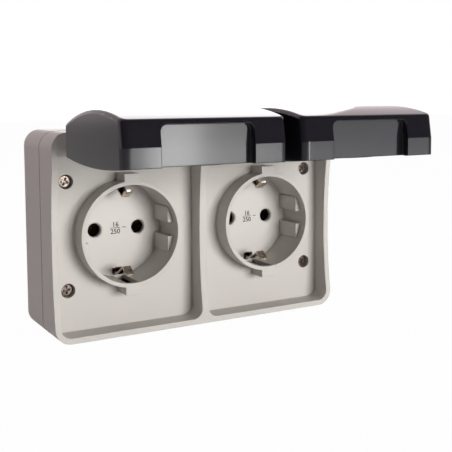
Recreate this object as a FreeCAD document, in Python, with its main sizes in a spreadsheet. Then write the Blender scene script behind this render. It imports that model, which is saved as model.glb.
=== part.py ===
"""Double surface-mounted weatherproof socket outlet with two hinged lids.

The frame of the part: the middle of the wall face is the origin, at the height
of the two socket centres. +X points to the right, +Z up, and -Y out of the wall,
so "depth" below always means a distance from the wall along -Y.
"""
import FreeCAD, Part
import os
import Sketcher

os.makedirs("parts", exist_ok=True)
doc = FreeCAD.newDocument("weatherproof_socket")
V = FreeCAD.Vector

# Every length in millimetres, angles in degrees.
SIZES = {
    # casing
    "side_margin": 32.5, "top_rise": 41.0, "bottom_drop": 40.0, "corner": 6.5,
    "wall": 2.6, "box_floor": 2.4, "box_depth": 20.5,
    "back_lip": 3.0, "back_relief": 0.6,
    "fix_inset": 14.0, "fix_z": 31.0, "fix_bore": 2.3, "fix_collar": 2.2, "fix_collar_rise": 2.0,
    "knockout": 10.0, "knockout_line": 0.8, "knockout_cut": 1.2,
    "post": 4.4, "pilot": 1.6, "pilot_deep": 14.0, "web": 1.4, "web_drop": 3.0,
    "seat_ring": 14.0, "seat_ring_wall": 2.0, "seat_rise": 2.0,
    "entry": 6.5, "entry_back": 9.5,
    "seal_wide": 1.0, "seal_deep": 1.2,
    # front frame
    "frame_deep": 15.5, "rim_wall": 2.3, "rim_sag": 2.2, "sag_top": 27.0, "sag_bottom": 34.0,
    "bay_deep": 9.4, "plate": 2.2, "partition": 3.0, "bay_top": 32.0, "bay_corner": 4.0,
    "strip_skin": 3.0, "strip_step": 0.8, "strip_round": 1.2,
    "spacing": 63.0, "collar_bore": 19.6, "collar_wall": 1.6, "collar_set": 1.0,
    "block_wide": 6.6, "block_reach": 2.9, "flex_wide": 5.0, "flex_reach": 2.0, "block_skin": 1.6,
    "screw_inset": 8.4, "screw_z": 21.4, "head_bore": 2.85, "head_seat": 2.0, "shank_bore": 1.8,
    # socket floor
    "recess": 17.5, "insert_floor": 2.5, "insert_gap": 0.15,
    "pin_pitch": 19.0, "pin_hole": 2.85, "pin_lead": 0.5,
    "key_flat": 17.0, "key_set": 4.3, "key_groove": 5.6,
    "slot_wide": 4.2, "slot_inner": 16.2, "slot_outer": 19.2,
    # contacts
    "base_radius": 20.0, "base_web": 2.0, "cavity": 4.4,
    "sleeve": 3.4, "sleeve_bore": 2.45, "sleeve_slit": 0.8, "sleeve_slit_deep": 3.2,
    "sleeve_foot": 3.9, "foot_thick": 1.0, "sleeve_short": 3.0,
    "bar_thick": 0.8, "bar_wide": 6.0, "rail_rise": 9.0, "channel_gap": 0.2,
    "strap_wide": 3.4, "strap": 0.8, "strap_back": 1.8,
    "arm_root": 17.9, "arm_heel": 18.4, "arm_heel_up": 3.5, "arm_apex": 14.8, "arm_apex_up": 10.0,
    "arm_tip": 17.4, "arm_tip_up": 14.0, "tip_round": 1.0,
    "earth_wide": 5.0,
    # terminals
    "terminal_wide": 16.0, "terminal_drop": 14.0, "tower_wide": 10.0, "tower_half": 2.9,
    "terminal_bore": 1.7, "terminal_shank": 1.5, "terminal_head": 2.8, "terminal_head_high": 2.0,
    "terminal_deep": 3.4, "clamp": 5.8, "clamp_thick": 0.8,
    # screws
    "screw_head": 2.6, "screw_head_high": 2.1, "screw_shank": 1.5, "screw_long": 13.0,
    "head_crown": 0.35, "point_lead": 0.6, "cross_wide": 0.9, "cross_span": 3.2, "cross_deep": 1.1,
    # lids and hinges
    "hinge_stand": 4.0, "hinge_rise": 36.5, "cove": 6.0,
    "lug_inset": 10.1, "lug_wide": 4.0, "barrel": 3.1, "barrel_gap": 0.3,
    "pin": 1.25, "pin_play": 0.05, "pin_over": 0.4,
    "lid_gap": 2.95, "lid_shift": 1.55, "lid_wall": 2.0,
    "lid_rear": 10.7, "lid_past": 3.3, "lid_base": 3.7, "lid_lip": 4.6, "base_bow": 1.6,
    "lid_rear_top": 8.6,
    "lid_front_top": 10.6, "lid_lean": 1.4, "crease": 2.0, "lid_bow": 3.9,
    "lid_corner": 2.8, "lid_edge": 1.4,
    "grip_wide": 34.0, "grip_deep": 3.2, "grip_top": 8.9, "grip_corner": 2.5, "grip_hood": 0.8,
    "skirt": 23.2, "skirt_bore": 20.2, "skirt_set": 0.3,
    "seal_outer": 21.8, "seal_bore": 19.2, "seal_seat": 1.3, "seal_gap": 0.1, "seal_press": 0.15,
    "neck": 3.1,
    # cable entry
    "grommet_flange": 8.6, "grommet_lip": 7.6, "flange_thick": 1.3, "membrane": 0.9,
    "bush_wall": 1.5, "lip_lead": 0.5,
}

sheet = doc.addObject("Spreadsheet::Sheet", "sizes")
for row, (name, value) in enumerate(SIZES.items(), start=1):
    sheet.set(f"A{row}", name)
    sheet.set(f"B{row}", str(value))
    sheet.setAlias(f"B{row}", name)
doc.recompute()


class Size:
    """A value of the sheet, or a sum of such values, with the text that binds it."""

    def __init__(self, text, value):
        self.text, self.value = text, float(value)

    def __add__(self, other):
        other = size(other)
        return Size(f"({self.text} + {other.text})", self.value + other.value)

    def __sub__(self, other):
        other = size(other)
        return Size(f"({self.text} - {other.text})", self.value - other.value)

    def __mul__(self, other):
        other = size(other)
        return Size(f"({self.text} * {other.text})", self.value * other.value)

    def __truediv__(self, other):
        other = size(other)
        return Size(f"({self.text} / {other.text})", self.value / other.value)

    def __radd__(self, other):
        return size(other) + self

    def __rsub__(self, other):
        return size(other) - self

    def __rmul__(self, other):
        return size(other) * self

    def __neg__(self):
        return Size(f"(-1 * {self.text})", -self.value)


def size(item):
    return item if isinstance(item, Size) else Size(repr(float(item)), item)


def bind(item, prop, length):
    item.setExpression(prop, size(length).text)


class Sheet:
    """Gives each cell of the sheet as a Size."""

    def __getattr__(self, name):
        return Size("sizes." + name, SIZES[name])


s = Sheet()
FRONT, SIDE, LEVEL = "XZ_Plane", "YZ_Plane", "XY_Plane"


def new_body(name):
    body = doc.addObject("PartDesign::Body", name)
    body.Label = name
    return body


def place(body, x=0, depth=0, z=0):
    bind(body, ".Placement.Base.x", x)
    bind(body, ".Placement.Base.y", -size(depth))
    bind(body, ".Placement.Base.z", z)


def sketch(body, role, offset=0):
    """Sketch on an origin plane: FRONT offsets by depth, SIDE by x, LEVEL by z."""
    sk = body.newObject("Sketcher::SketchObject", "outline")
    planes = [f for f in body.Origin.OriginFeatures if f.Role == role]
    sk.AttachmentSupport = [(planes[0], "")]
    sk.MapMode = "FlatFace"
    bind(sk, "AttachmentOffset.Base.z", offset)
    return sk


def rule(sk, kind, length, *where):
    number = sk.addConstraint(Sketcher.Constraint(kind, *where, size(length).value))
    sk.setExpression(f"Constraints[{number}]", size(length).text)


def outline(sk, points, arcs=None):
    """Closed outline through the points; arcs maps an edge's number to a point it bows
    through and to its radius."""
    arcs = arcs or {}
    points = [(size(a), size(b)) for a, b in points]
    spots = [V(a.value, b.value, 0) for a, b in points]
    ends = []
    for i, a in enumerate(spots):
        b = spots[(i + 1) % len(spots)]
        if i in arcs:
            via, radius = arcs[i]
            mid = V(size(via[0]).value, size(via[1]).value, 0)
            turn = (mid - a).cross(b - mid).z > 0
            edge = sk.addGeometry(Part.Arc(a, mid, b) if turn else Part.Arc(b, mid, a))
            rule(sk, "Radius", radius, edge)
            ends.append((edge, 1, 2) if turn else (edge, 2, 1))
        else:
            ends.append((sk.addGeometry(Part.LineSegment(a, b)), 1, 2))
    for i, (edge, start, finish) in enumerate(ends):
        after, first, _ = ends[(i + 1) % len(ends)]
        sk.addConstraint(Sketcher.Constraint("Coincident", edge, finish, after, first))
    for (edge, start, _), (a, b) in zip(ends, points):
        rule(sk, "DistanceX", a, -1, 1, edge, start)
        rule(sk, "DistanceY", b, -1, 1, edge, start)


def rectangle(sk, left, right, low, high):
    outline(sk, [(left, low), (right, low), (right, high), (left, high)])


def circle(sk, x, y, radius):
    edge = sk.addGeometry(Part.Circle(V(size(x).value, size(y).value, 0), V(0, 0, 1), size(radius).value))
    rule(sk, "Radius", radius, edge)
    rule(sk, "DistanceX", x, -1, 1, edge, 3)
    rule(sk, "DistanceY", y, -1, 1, edge, 3)


def pad(body, sk, length, back=False, both=False):
    feature = body.newObject("PartDesign::Pad", "pad")
    feature.Profile = sk
    bind(feature, "Length", length)
    feature.Reversed = back
    if both:
        feature.SideType = "Symmetric"
    body.Tip = feature
    return feature


def pocket(body, sk, length, forward=False, both=False):
    """Cut towards the wall, left or down, or the other way with forward."""
    doc.recompute()
    before = body.Tip.Shape.Volume
    feature = body.newObject("PartDesign::Pocket", "pocket")
    feature.Profile = sk
    bind(feature, "Length", length)
    feature.Reversed = forward
    if both:
        feature.SideType = "Symmetric"
    body.Tip = feature
    doc.recompute()
    if not feature.Shape.Volume < before - 1e-6:
        raise RuntimeError(f"{feature.Name} of {body.Label} cuts nothing")
    return feature


def revolve(body, sk, axis, cut=False):
    feature = body.newObject("PartDesign::Groove" if cut else "PartDesign::Revolution", "turn")
    feature.Profile = sk
    feature.ReferenceAxis = (sk, [axis])
    feature.Angle = 360
    body.Tip = feature
    return feature


def round_edges(body, radius, pick, kind="Fillet"):
    """Round or chamfer those edges of the body so far that pick chooses."""
    doc.recompute()
    base = body.Tip
    names = [f"Edge{i}" for i, edge in enumerate(base.Shape.Edges, start=1) if pick(edge)]
    if not names:
        raise RuntimeError(f"no edge to round on {body.Label}")
    feature = body.newObject("PartDesign::" + kind, kind.lower())
    feature.Base = (base, names)
    bind(feature, "Radius" if kind == "Fillet" else "Size", radius)
    body.Tip = feature
    return feature


def runs_along(edge, axis):
    """True for a straight edge along x, y or z."""
    if edge.Curve.TypeId != "Part::GeomLine":
        return False
    way = edge.Curve.Direction
    return abs(abs(way.dot(V(*(float(axis == a) for a in "xyz")))) - 1) < 1e-6


def near(a, b):
    return abs(a - size(b).value) < 0.01


# Places that several pieces share, as depths from the wall.
half_width = s.spacing / 2 + s.side_margin
screw_x = half_width - s.screw_inset
fix_x = half_width - s.fix_inset
seam = s.box_depth
rim_depth = seam + s.frame_deep
plate_depth = rim_depth - s.bay_deep
collar_depth = rim_depth - s.collar_set
hinge_depth = rim_depth + s.hinge_stand
entry_depth = seam - s.entry_back
lid_offset = s.spacing / 2 + s.lid_shift
lid_half = lid_offset - s.lid_gap
lug_offset = lid_half - s.lug_inset
lid_front = s.hinge_rise + s.skirt + s.lid_past
floor_front = collar_depth - s.recess
base_front = floor_front - s.insert_floor
base_back = s.box_floor + s.seat_rise
bar_back = base_back + s.base_web
bar_front = bar_back + s.bar_thick
strap_rear = base_front - s.strap_back
earth_rear = strap_rear + s.strap
earth_front = earth_rear + s.bar_thick
plate_back = plate_depth - s.plate
head_rest = seam + s.head_seat
earth_rise = s.arm_root - s.strap - s.earth_wide / 2 - s.channel_gap
screws = [(sx * screw_x, sz * s.screw_z) for sx in (-1, 1) for sz in (-1, 1)]
sockets = [side * s.spacing / 2 for side in (-1, 1)]


def casing_block(body, from_depth, length):
    """The rounded outline that both casing halves share, as a block."""
    sk = sketch(body, FRONT, from_depth)
    rectangle(sk, -half_width, half_width, -s.bottom_drop, s.top_rise)
    pad(body, sk, length)
    round_edges(body, s.corner, lambda e: runs_along(e, "y"))


def hollow(body, at, length, forward=False):
    """The main pocket of a casing half, which leaves its walls and rounded corners."""
    sk = sketch(body, FRONT, at)
    inset = s.wall
    rounded_rectangle(sk, -half_width + inset, half_width - inset, -s.bottom_drop + inset,
                      s.top_rise - inset, s.corner - inset)
    pocket(body, sk, length, forward)


def rounded_rectangle(sk, left, right, low, high, r):
    k = 1 - 0.5 ** 0.5
    points = [(left + r, low), (right - r, low), (right, low + r), (right, high - r),
              (right - r, high), (left + r, high), (left, high - r), (left, low + r)]
    arcs = {1: ((right - r * k, low + r * k), r), 3: ((right - r * k, high - r * k), r),
            5: ((left + r * k, high - r * k), r), 7: ((left + r * k, low + r * k), r)}
    outline(sk, points, arcs)


def make_back_box():
    body = new_body("back_box")
    casing_block(body, 0, s.box_depth)
    hollow(body, seam, s.box_depth - s.box_floor)
    # posts for the cover screws, each with a web to the side wall
    sk = sketch(body, FRONT, s.box_floor)
    for x, z in screws:
        circle(sk, x, z, s.post)
    pad(body, sk, s.box_depth - s.box_floor)
    sk = sketch(body, FRONT, s.box_floor)
    for side in (-1, 1):
        for level in (-1, 1):
            inner, outer = side * screw_x, side * (half_width - s.wall / 2)
            z = level * s.screw_z
            left, right = (inner, outer) if side > 0 else (outer, inner)
            rectangle(sk, left, right, z - s.web / 2, z + s.web / 2)
    pad(body, sk, s.box_depth - s.box_floor - s.web_drop)
    sk = sketch(body, FRONT, seam)
    for x, z in screws:
        circle(sk, x, z, s.pilot)
    pocket(body, sk, s.pilot_deep)
    # ring seats that carry the two contact bases
    sk = sketch(body, FRONT, s.box_floor)
    for x in sockets:
        circle(sk, x, 0, s.seat_ring)
        circle(sk, x, 0, s.seat_ring - s.seat_ring_wall)
    pad(body, sk, s.seat_rise)
    # collars and bores of the four wall screws
    fixings = [(sx * fix_x, sz * s.fix_z) for sx in (-1, 1) for sz in (-1, 1)]
    sk = sketch(body, FRONT, s.box_floor)
    for x, z in fixings:
        circle(sk, x, z, s.fix_bore + s.fix_collar)
    pad(body, sk, s.fix_collar_rise)
    sk = sketch(body, FRONT, s.box_floor + s.fix_collar_rise)
    for x, z in fixings:
        circle(sk, x, z, s.fix_bore)
    pocket(body, sk, s.box_floor + s.fix_collar_rise)
    # groove of the casing seal in the front edge
    sk = sketch(body, FRONT, seam)
    inner = (s.wall + s.seal_wide) / 2
    outer = (s.wall - s.seal_wide) / 2
    for inset in (outer, inner):
        rounded_rectangle(sk, -half_width + inset, half_width - inset, -s.bottom_drop + inset,
                          s.top_rise - inset, s.corner - inset)
    pocket(body, sk, s.seal_deep)
    # the wall face touches with a lip, and shows the ring of a rear knock-out
    sk = sketch(body, FRONT)
    lip = s.back_lip
    rounded_rectangle(sk, -half_width + lip, half_width - lip, -s.bottom_drop + lip,
                      s.top_rise - lip, s.corner - lip)
    for x, z in fixings:
        circle(sk, x, z, s.fix_bore + s.fix_collar)
    pocket(body, sk, s.back_relief, forward=True)
    sk = sketch(body, FRONT, s.back_relief)
    circle(sk, 0, 0, s.knockout)
    circle(sk, 0, 0, s.knockout - s.knockout_line)
    pocket(body, sk, s.knockout_cut, forward=True)
    # cable entry in the lower wall
    sk = sketch(body, LEVEL, -s.bottom_drop + s.wall + 1)
    circle(sk, 0, -entry_depth, s.entry)
    pocket(body, sk, s.wall + 2)
    return body


def make_box_gasket():
    body = new_body("box_gasket")
    sk = sketch(body, FRONT, seam - s.seal_deep)
    for inset in ((s.wall - s.seal_wide) / 2, (s.wall + s.seal_wide) / 2):
        rounded_rectangle(sk, -half_width + inset, half_width - inset, -s.bottom_drop + inset,
                          s.top_rise - inset, s.corner - inset)
    pad(body, sk, s.seal_deep)
    return body


def bow(sk, depth_at, sag, top, bottom):
    """A shallow lens in a side view, which leaves a front edge of this sag."""
    half = (top + bottom) / 2
    middle = (top - bottom) / 2
    radius = (half * half + sag * sag) / (2 * sag)
    outline(sk, [(-depth_at, -bottom), (-depth_at, top), (-depth_at - 3, top), (-depth_at - 3, -bottom)],
            {0: ((-depth_at + sag, middle), radius)})


def make_front_frame():
    body = new_body("front_frame")
    casing_block(body, seam, s.frame_deep)
    # the long edges of the rim bow inwards
    sk = sketch(body, SIDE)
    bow(sk, rim_depth, s.rim_sag, s.sag_top, s.sag_bottom)
    pocket(body, sk, 2 * half_width + 2, both=True)
    # two bays down to the plates, one to each socket
    for side in (-1, 1):
        sk = sketch(body, FRONT, rim_depth)
        inner, outer = side * s.partition / 2, side * (half_width - s.rim_wall)
        left, right = (inner, outer) if side > 0 else (outer, inner)
        rounded_rectangle(sk, left, right, -s.bottom_drop + s.rim_wall, s.bay_top, s.bay_corner)
        pocket(body, sk, rim_depth - plate_depth)
    # round channel of the hinges along the top strip
    sk = sketch(body, SIDE)
    circle(sk, -hinge_depth, s.hinge_rise, s.cove)
    pocket(body, sk, 2 * (half_width - s.rim_wall), both=True)
    # hollow behind the plates, and a deeper one behind the top strip
    hollow(body, seam, plate_back - seam, forward=True)
    strip_floor = hinge_depth - s.cove - s.strip_skin
    inset = s.wall + s.strip_step
    sk = sketch(body, FRONT, seam)
    rounded_rectangle(sk, -half_width + inset, half_width - inset, s.bay_top + s.plate,
                      s.top_rise - inset, s.strip_round)
    pocket(body, sk, strip_floor - seam, forward=True)
    # collars with their blocks, and screw bosses that meet the posts
    sk = sketch(body, FRONT, floor_front)
    for x in sockets:
        circle(sk, x, 0, s.collar_bore + s.collar_wall)
    pad(body, sk, s.recess)
    reach = s.collar_bore + s.collar_wall + s.block_reach
    sk = sketch(body, FRONT, plate_back)
    for x in sockets:
        rectangle(sk, x - s.block_wide / 2, x + s.block_wide / 2, -reach, reach)
    pad(body, sk, collar_depth - plate_back)
    sk = sketch(body, FRONT, seam)
    for x, z in screws:
        circle(sk, x, z, s.post)
    pad(body, sk, plate_back - seam)
    # the socket wells go right through
    sk = sketch(body, FRONT, collar_depth)
    for x in sockets:
        circle(sk, x, 0, s.collar_bore)
    pocket(body, sk, s.recess)
    # room behind the collar wall in which the earth springs give way
    flex = s.collar_bore + s.flex_reach
    sk = sketch(body, FRONT, floor_front)
    for x in sockets:
        rectangle(sk, x - s.flex_wide / 2, x + s.flex_wide / 2, -flex, flex)
    pocket(body, sk, s.recess - s.block_skin, forward=True)
    # stepped holes of the cover screws
    sk = sketch(body, FRONT, plate_depth)
    for x, z in screws:
        circle(sk, x, z, s.head_bore)
    pocket(body, sk, plate_depth - head_rest)
    sk = sketch(body, FRONT, head_rest)
    for x, z in screws:
        circle(sk, x, z, s.shank_bore)
    pocket(body, sk, s.head_seat)
    # two lugs to each lid, round about the hinge axis
    back = hinge_depth - s.cove - s.strip_skin / 2
    for side in (-1, 1):
        for end in (-1, 1):
            x = side * lid_offset + end * lug_offset
            low, high = s.hinge_rise - s.barrel, s.hinge_rise + s.barrel
            sk = sketch(body, SIDE, x)
            rectangle(sk, -hinge_depth, -back, low, high)
            pad(body, sk, s.lug_wide, both=True)
            sk = sketch(body, SIDE, x)
            circle(sk, -hinge_depth, s.hinge_rise, s.barrel)
            pad(body, sk, s.lug_wide, both=True)
    for side in (-1, 1):
        sk = sketch(body, SIDE, side * lid_offset)
        circle(sk, -hinge_depth, s.hinge_rise, s.pin)
        pocket(body, sk, 2 * lug_offset + s.lug_wide + 1, both=True)
    return body


def make_socket_insert(name, x):
    """Floor of one well: pin holes, slots for the springs and the two key pads."""
    body = new_body(name)
    sk = sketch(body, FRONT, base_front)
    circle(sk, 0, 0, s.collar_bore + s.collar_wall)
    pad(body, sk, s.insert_floor)
    # key pads: what lies outside the flats, inside the well
    fit = s.collar_bore - s.insert_gap
    sk = sketch(body, FRONT, floor_front)
    circle(sk, 0, 0, fit)
    pad(body, sk, s.recess - s.key_set)
    sk = sketch(body, FRONT, collar_depth)
    rectangle(sk, -s.key_flat, s.key_flat, -fit - 1, fit + 1)
    pocket(body, sk, s.recess)
    sk = sketch(body, FRONT, collar_depth)
    rectangle(sk, -fit - 1, fit + 1, -s.key_groove / 2, s.key_groove / 2)
    pocket(body, sk, s.recess)
    sk = sketch(body, FRONT, floor_front)
    for side in (-1, 1):
        circle(sk, side * s.pin_pitch / 2, 0, s.pin_hole)
    pocket(body, sk, s.insert_floor)
    sk = sketch(body, FRONT, floor_front)
    for low, high in ((s.slot_inner, s.slot_outer), (-s.slot_outer, -s.slot_inner)):
        rectangle(sk, -s.slot_wide / 2, s.slot_wide / 2, low, high)
    pocket(body, sk, s.insert_floor)

    def pin_mouth(edge):
        return (edge.Curve.TypeId == "Part::GeomCircle" and near(edge.Curve.Radius, s.pin_hole)
                and near(-edge.BoundBox.YMin, floor_front))
    round_edges(body, s.pin_lead, pin_mouth, kind="Chamfer")
    place(body, x)
    return body


def make_contact_base(name, x):
    """Carrier of the two contact sleeves, with channels for the bars and the earth strap."""
    body = new_body(name)
    sk = sketch(body, FRONT, base_back)
    circle(sk, 0, 0, s.base_radius)
    pad(body, sk, base_front - base_back)
    sk = sketch(body, FRONT, base_front)
    for side in (-1, 1):
        circle(sk, side * s.pin_pitch / 2, 0, s.cavity)
    pocket(body, sk, base_front - bar_back)
    half = s.bar_wide / 2 + s.channel_gap
    wide = s.base_radius + 1
    sk = sketch(body, FRONT, base_front)
    for level in (-1, 1):
        z = level * s.rail_rise
        rectangle(sk, -wide, wide, z - half, z + half)
    pocket(body, sk, base_front - bar_back)
    # legs of the bars reach from the channels to the sleeves
    sk = sketch(body, FRONT, base_front)
    left = -s.pin_pitch / 2
    rectangle(sk, left - half, left + half, 0, s.rail_rise)
    rectangle(sk, -left - half, -left + half, -s.rail_rise, 0)
    pocket(body, sk, base_front - bar_back)
    groove = s.strap_wide / 2 + s.channel_gap
    sk = sketch(body, FRONT, base_front)
    rectangle(sk, -groove, groove, -wide, wide)
    pocket(body, sk, s.strap_back)
    half = s.earth_wide / 2 + s.channel_gap
    sk = sketch(body, FRONT, base_front)
    rectangle(sk, -wide, wide, earth_rise - half, earth_rise + half)
    pocket(body, sk, base_front - earth_rear)
    place(body, x)
    return body


def make_contact_sleeve(name, x):
    """Turned brass sleeve with a cross slit that grips the plug's pin."""
    body = new_body(name)
    front = base_front - s.sleeve_short
    foot = bar_front + s.foot_thick
    sk = sketch(body, LEVEL)
    outline(sk, [(0, -bar_front), (s.sleeve_foot, -bar_front), (s.sleeve_foot, -foot), (s.sleeve, -foot),
                 (s.sleeve, -front), (s.sleeve_bore, -front), (s.sleeve_bore, -foot), (0, -foot)])
    revolve(body, sk, "V_Axis")
    sk = sketch(body, FRONT, front)
    wide, long = s.sleeve_slit / 2, s.sleeve + 1
    outline(sk, [(-long, -wide), (-wide, -wide), (-wide, -long), (wide, -long), (wide, -wide), (long, -wide),
                 (long, wide), (wide, wide), (wide, long), (-wide, long), (-wide, wide), (-long, wide)])
    pocket(body, sk, s.sleeve_slit_deep)
    place(body, x)
    return body


def make_pole_bar(name, turn):
    """Stamped strip that joins the same pole of both sockets and passes the terminal."""
    body = new_body(name)
    half = s.bar_wide / 2
    left = -s.spacing / 2 - s.pin_pitch / 2
    right = s.spacing / 2 - s.pin_pitch / 2
    low, high = s.rail_rise - half, s.rail_rise + half
    sk = sketch(body, FRONT, bar_back)
    outline(sk, [(left - half, -half), (left + half, -half), (left + half, low), (right - half, low),
                 (right - half, -half), (right + half, -half), (right + half, high), (left - half, high)])
    circle(sk, 0, s.rail_rise, s.terminal_bore)
    pad(body, sk, s.bar_thick)
    body.Placement = FreeCAD.Placement(V(0, 0, 0), FreeCAD.Rotation(V(0, 1, 0), turn))
    return body


def make_earth_bar():
    body = new_body("earth_bar")
    sk = sketch(body, FRONT, earth_rear)
    long, half = s.spacing / 2 + s.strap_wide / 2, s.earth_wide / 2
    rectangle(sk, -long, long, earth_rise - half, earth_rise + half)
    circle(sk, 0, earth_rise, s.terminal_bore)
    pad(body, sk, s.bar_thick)
    return body


def make_earth_spring(name, x):
    """Bent strap with a sprung arm at each end: out of the slot, in to an apex, out to a tip."""
    body = new_body(name)
    rear, up = strap_rear, floor_front
    line = [(rear, s.arm_root), (up + s.arm_heel_up, s.arm_heel), (up + s.arm_apex_up, s.arm_apex),
            (up + s.arm_tip_up, s.arm_tip)]
    inner = [(depth, z - s.strap) for depth, z in line[1:]]
    corner = (rear + s.strap, s.arm_root - s.strap)
    points = [(rear, 0)] + line + inner[::-1] + [corner, (rear + s.strap, 0)]
    sk = sketch(body, SIDE)
    outline(sk, [(-size(depth), z) for depth, z in points])
    half = pad(body, sk, s.strap_wide, both=True)
    mirror = body.newObject("PartDesign::Mirrored", "mirror")
    mirror.Originals = [half]
    mirror.MirrorPlane = ([f for f in body.Origin.OriginFeatures if f.Role == LEVEL][0], [""])
    body.Tip = mirror
    tip = up + s.arm_tip_up

    def tip_corner(edge):
        return runs_along(edge, "z") and near(-edge.BoundBox.YMin, tip)
    round_edges(body, s.tip_round, tip_corner)
    place(body, x)
    return body


def make_terminal_block():
    """Block between the sockets; its tower carries the higher earth bar."""
    body = new_body("terminal_block")
    half = s.terminal_wide / 2
    top = earth_rise + s.tower_half
    sk = sketch(body, FRONT, s.box_floor)
    rectangle(sk, -half, half, -s.terminal_drop, top)
    pad(body, sk, bar_back - s.box_floor)
    sk = sketch(body, FRONT, bar_back)
    rectangle(sk, -s.tower_wide / 2, s.tower_wide / 2, s.rail_rise + s.bar_wide / 2 + s.channel_gap, top)
    pad(body, sk, earth_rear - bar_back)
    sk = sketch(body, FRONT, bar_back)
    for level in (-1, 1):
        circle(sk, 0, level * s.rail_rise, s.terminal_bore)
    pocket(body, sk, s.terminal_deep)
    sk = sketch(body, FRONT, earth_rear)
    circle(sk, 0, earth_rise, s.terminal_bore)
    pocket(body, sk, s.terminal_deep)
    return body


def make_clamp_washer(name, rear, z):
    body = new_body(name)
    sk = sketch(body, FRONT)
    half = s.clamp / 2
    rectangle(sk, -half, half, -half, half)
    circle(sk, 0, 0, s.terminal_bore)
    pad(body, sk, s.clamp_thick)
    place(body, 0, rear, z)
    return body


def cross_recess(body, front, wide, span, deep):
    """The driver cross in a screw's head."""
    sk = sketch(body, FRONT, front)
    a, b = wide / 2, span / 2
    outline(sk, [(-b, -a), (-a, -a), (-a, -b), (a, -b), (a, -a), (b, -a),
                 (b, a), (a, a), (a, b), (-a, b), (-a, a), (-b, a)])
    pocket(body, sk, deep)


def make_screw(name, place_at, head, head_high, shank, long):
    """Pan-head screw, its origin under the head."""
    body = new_body(name)
    crown = head_high * s.head_crown
    sk = sketch(body, LEVEL)
    outline(sk, [(0, long), (shank * s.point_lead, long), (shank, long - shank * s.point_lead), (shank, 0), (head, 0),
                 (head, crown - head_high), (head - crown, -head_high), (0, -head_high)])
    revolve(body, sk, "V_Axis")
    cross_recess(body, head_high, s.cross_wide, s.cross_span, s.cross_deep)
    place(body, *place_at)
    return body


def lid_roof(inset):
    """Outline of the lid seen from the side, about the hinge axis, drawn in by inset."""
    rear, front = s.lid_rear + inset, lid_front - inset
    low, high = s.lid_rear_top - inset, s.lid_front_top - inset
    lean_front = front - s.lid_lean
    span, rise = lean_front - rear, high - low
    bow_up = s.lid_bow
    radius = (span * span + rise * rise) / (8 * bow_up) + bow_up / 2
    middle = ((rear + lean_front) / 2 - bow_up * rise / span, (low + high) / 2 + bow_up)
    base, lip = -s.lid_base, -s.lid_lip
    points = [(-rear, base), (-rear, low), (-lean_front, high), (-front, s.crease), (-front, lip)]
    sunk = (-(rear + front) / 2, (base + lip) / 2 - s.base_bow)
    base_radius = (front - rear) * (front - rear) / (8 * s.base_bow) + s.base_bow / 2
    return points, {1: ((-middle[0], middle[1]), radius), 4: (sunk, base_radius)}


def make_lid(name, side):
    """One lid, open, drawn about its hinge axis: a vaulted shell with a grip in its front."""
    body = new_body(name)
    sk = sketch(body, SIDE)
    outline(sk, *lid_roof(size(0)))
    pad(body, sk, 2 * lid_half, both=True)

    def front_upright(edge):
        box = edge.BoundBox
        return box.XLength < 1e-3 and -box.YMax > (lid_front - 2 * s.lid_lean).value

    def roof_rim(edge):
        box = edge.BoundBox
        return box.ZMin > s.lid_rear_top.value - 0.01 and -box.YMin > s.lid_rear.value + 1
    round_edges(body, s.lid_corner, front_upright)
    round_edges(body, s.lid_edge, roof_rim)
    # inside of the shell
    points, arcs = lid_roof(s.lid_wall)
    below = -s.lid_lip - s.base_bow - 1
    points[0] = (points[0][0], below)
    points[-1] = (points[-1][0], below)
    del arcs[4]
    sk = sketch(body, SIDE)
    outline(sk, points, arcs)
    pocket(body, sk, 2 * (lid_half - s.lid_wall), both=True)
    # grip: a box grows inwards from the front wall and is then cut from outside
    half = s.grip_wide / 2
    sk = sketch(body, LEVEL, -s.lid_lip)
    rectangle(sk, -half - s.lid_wall, half + s.lid_wall, -lid_front + s.lid_lean + s.lid_wall / 2,
              -lid_front + s.grip_deep + s.lid_wall)
    pad(body, sk, s.lid_lip + s.grip_top + s.grip_hood)
    sk = sketch(body, FRONT, lid_front + 1)
    c = s.grip_corner
    k = 1 - 0.5 ** 0.5
    outline(sk, [(-half, -s.lid_lip - 1), (half, -s.lid_lip - 1), (half, s.grip_top - c),
                 (half - c, s.grip_top), (-half + c, s.grip_top), (-half, s.grip_top - c)],
            {2: ((half - c * k, s.grip_top - c * k), c), 4: ((-half + c * k, s.grip_top - c * k), c)})
    pocket(body, sk, s.grip_deep + 1)
    # skirt that holds the seal over the collar
    axis = -s.hinge_rise
    off = side * (s.spacing / 2 - lid_offset)
    low = -s.lid_base + s.skirt_set
    sk = sketch(body, LEVEL, low)
    circle(sk, off, axis, s.skirt)
    circle(sk, off, axis, s.skirt_bore)
    pad(body, sk, s.lid_base - s.skirt_set + s.lid_rear_top)
    sk = sketch(body, LEVEL, -s.lid_lip)
    circle(sk, off, axis, s.seal_outer + s.seal_gap)
    pocket(body, sk, s.lid_lip + low + s.seal_seat, forward=True)
    # neck from the shell back to the hinge barrel
    long = lug_offset * 2 - s.lug_wide - 2 * s.barrel_gap
    sk = sketch(body, SIDE)
    circle(sk, 0, 0, s.barrel)
    pad(body, sk, long, both=True)
    rear, top = s.lid_rear + s.lid_wall, s.lid_rear_top
    sk = sketch(body, SIDE)
    outline(sk, [(0, s.barrel), (-rear, top), (-rear, top - s.neck), (-s.barrel, 0), (0, 0)])
    pad(body, sk, long, both=True)
    sk = sketch(body, SIDE)
    circle(sk, 0, 0, s.pin + s.pin_play)
    pocket(body, sk, long + 1, both=True)
    place(body, side * lid_offset, hinge_depth, s.hinge_rise)
    return body


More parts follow.
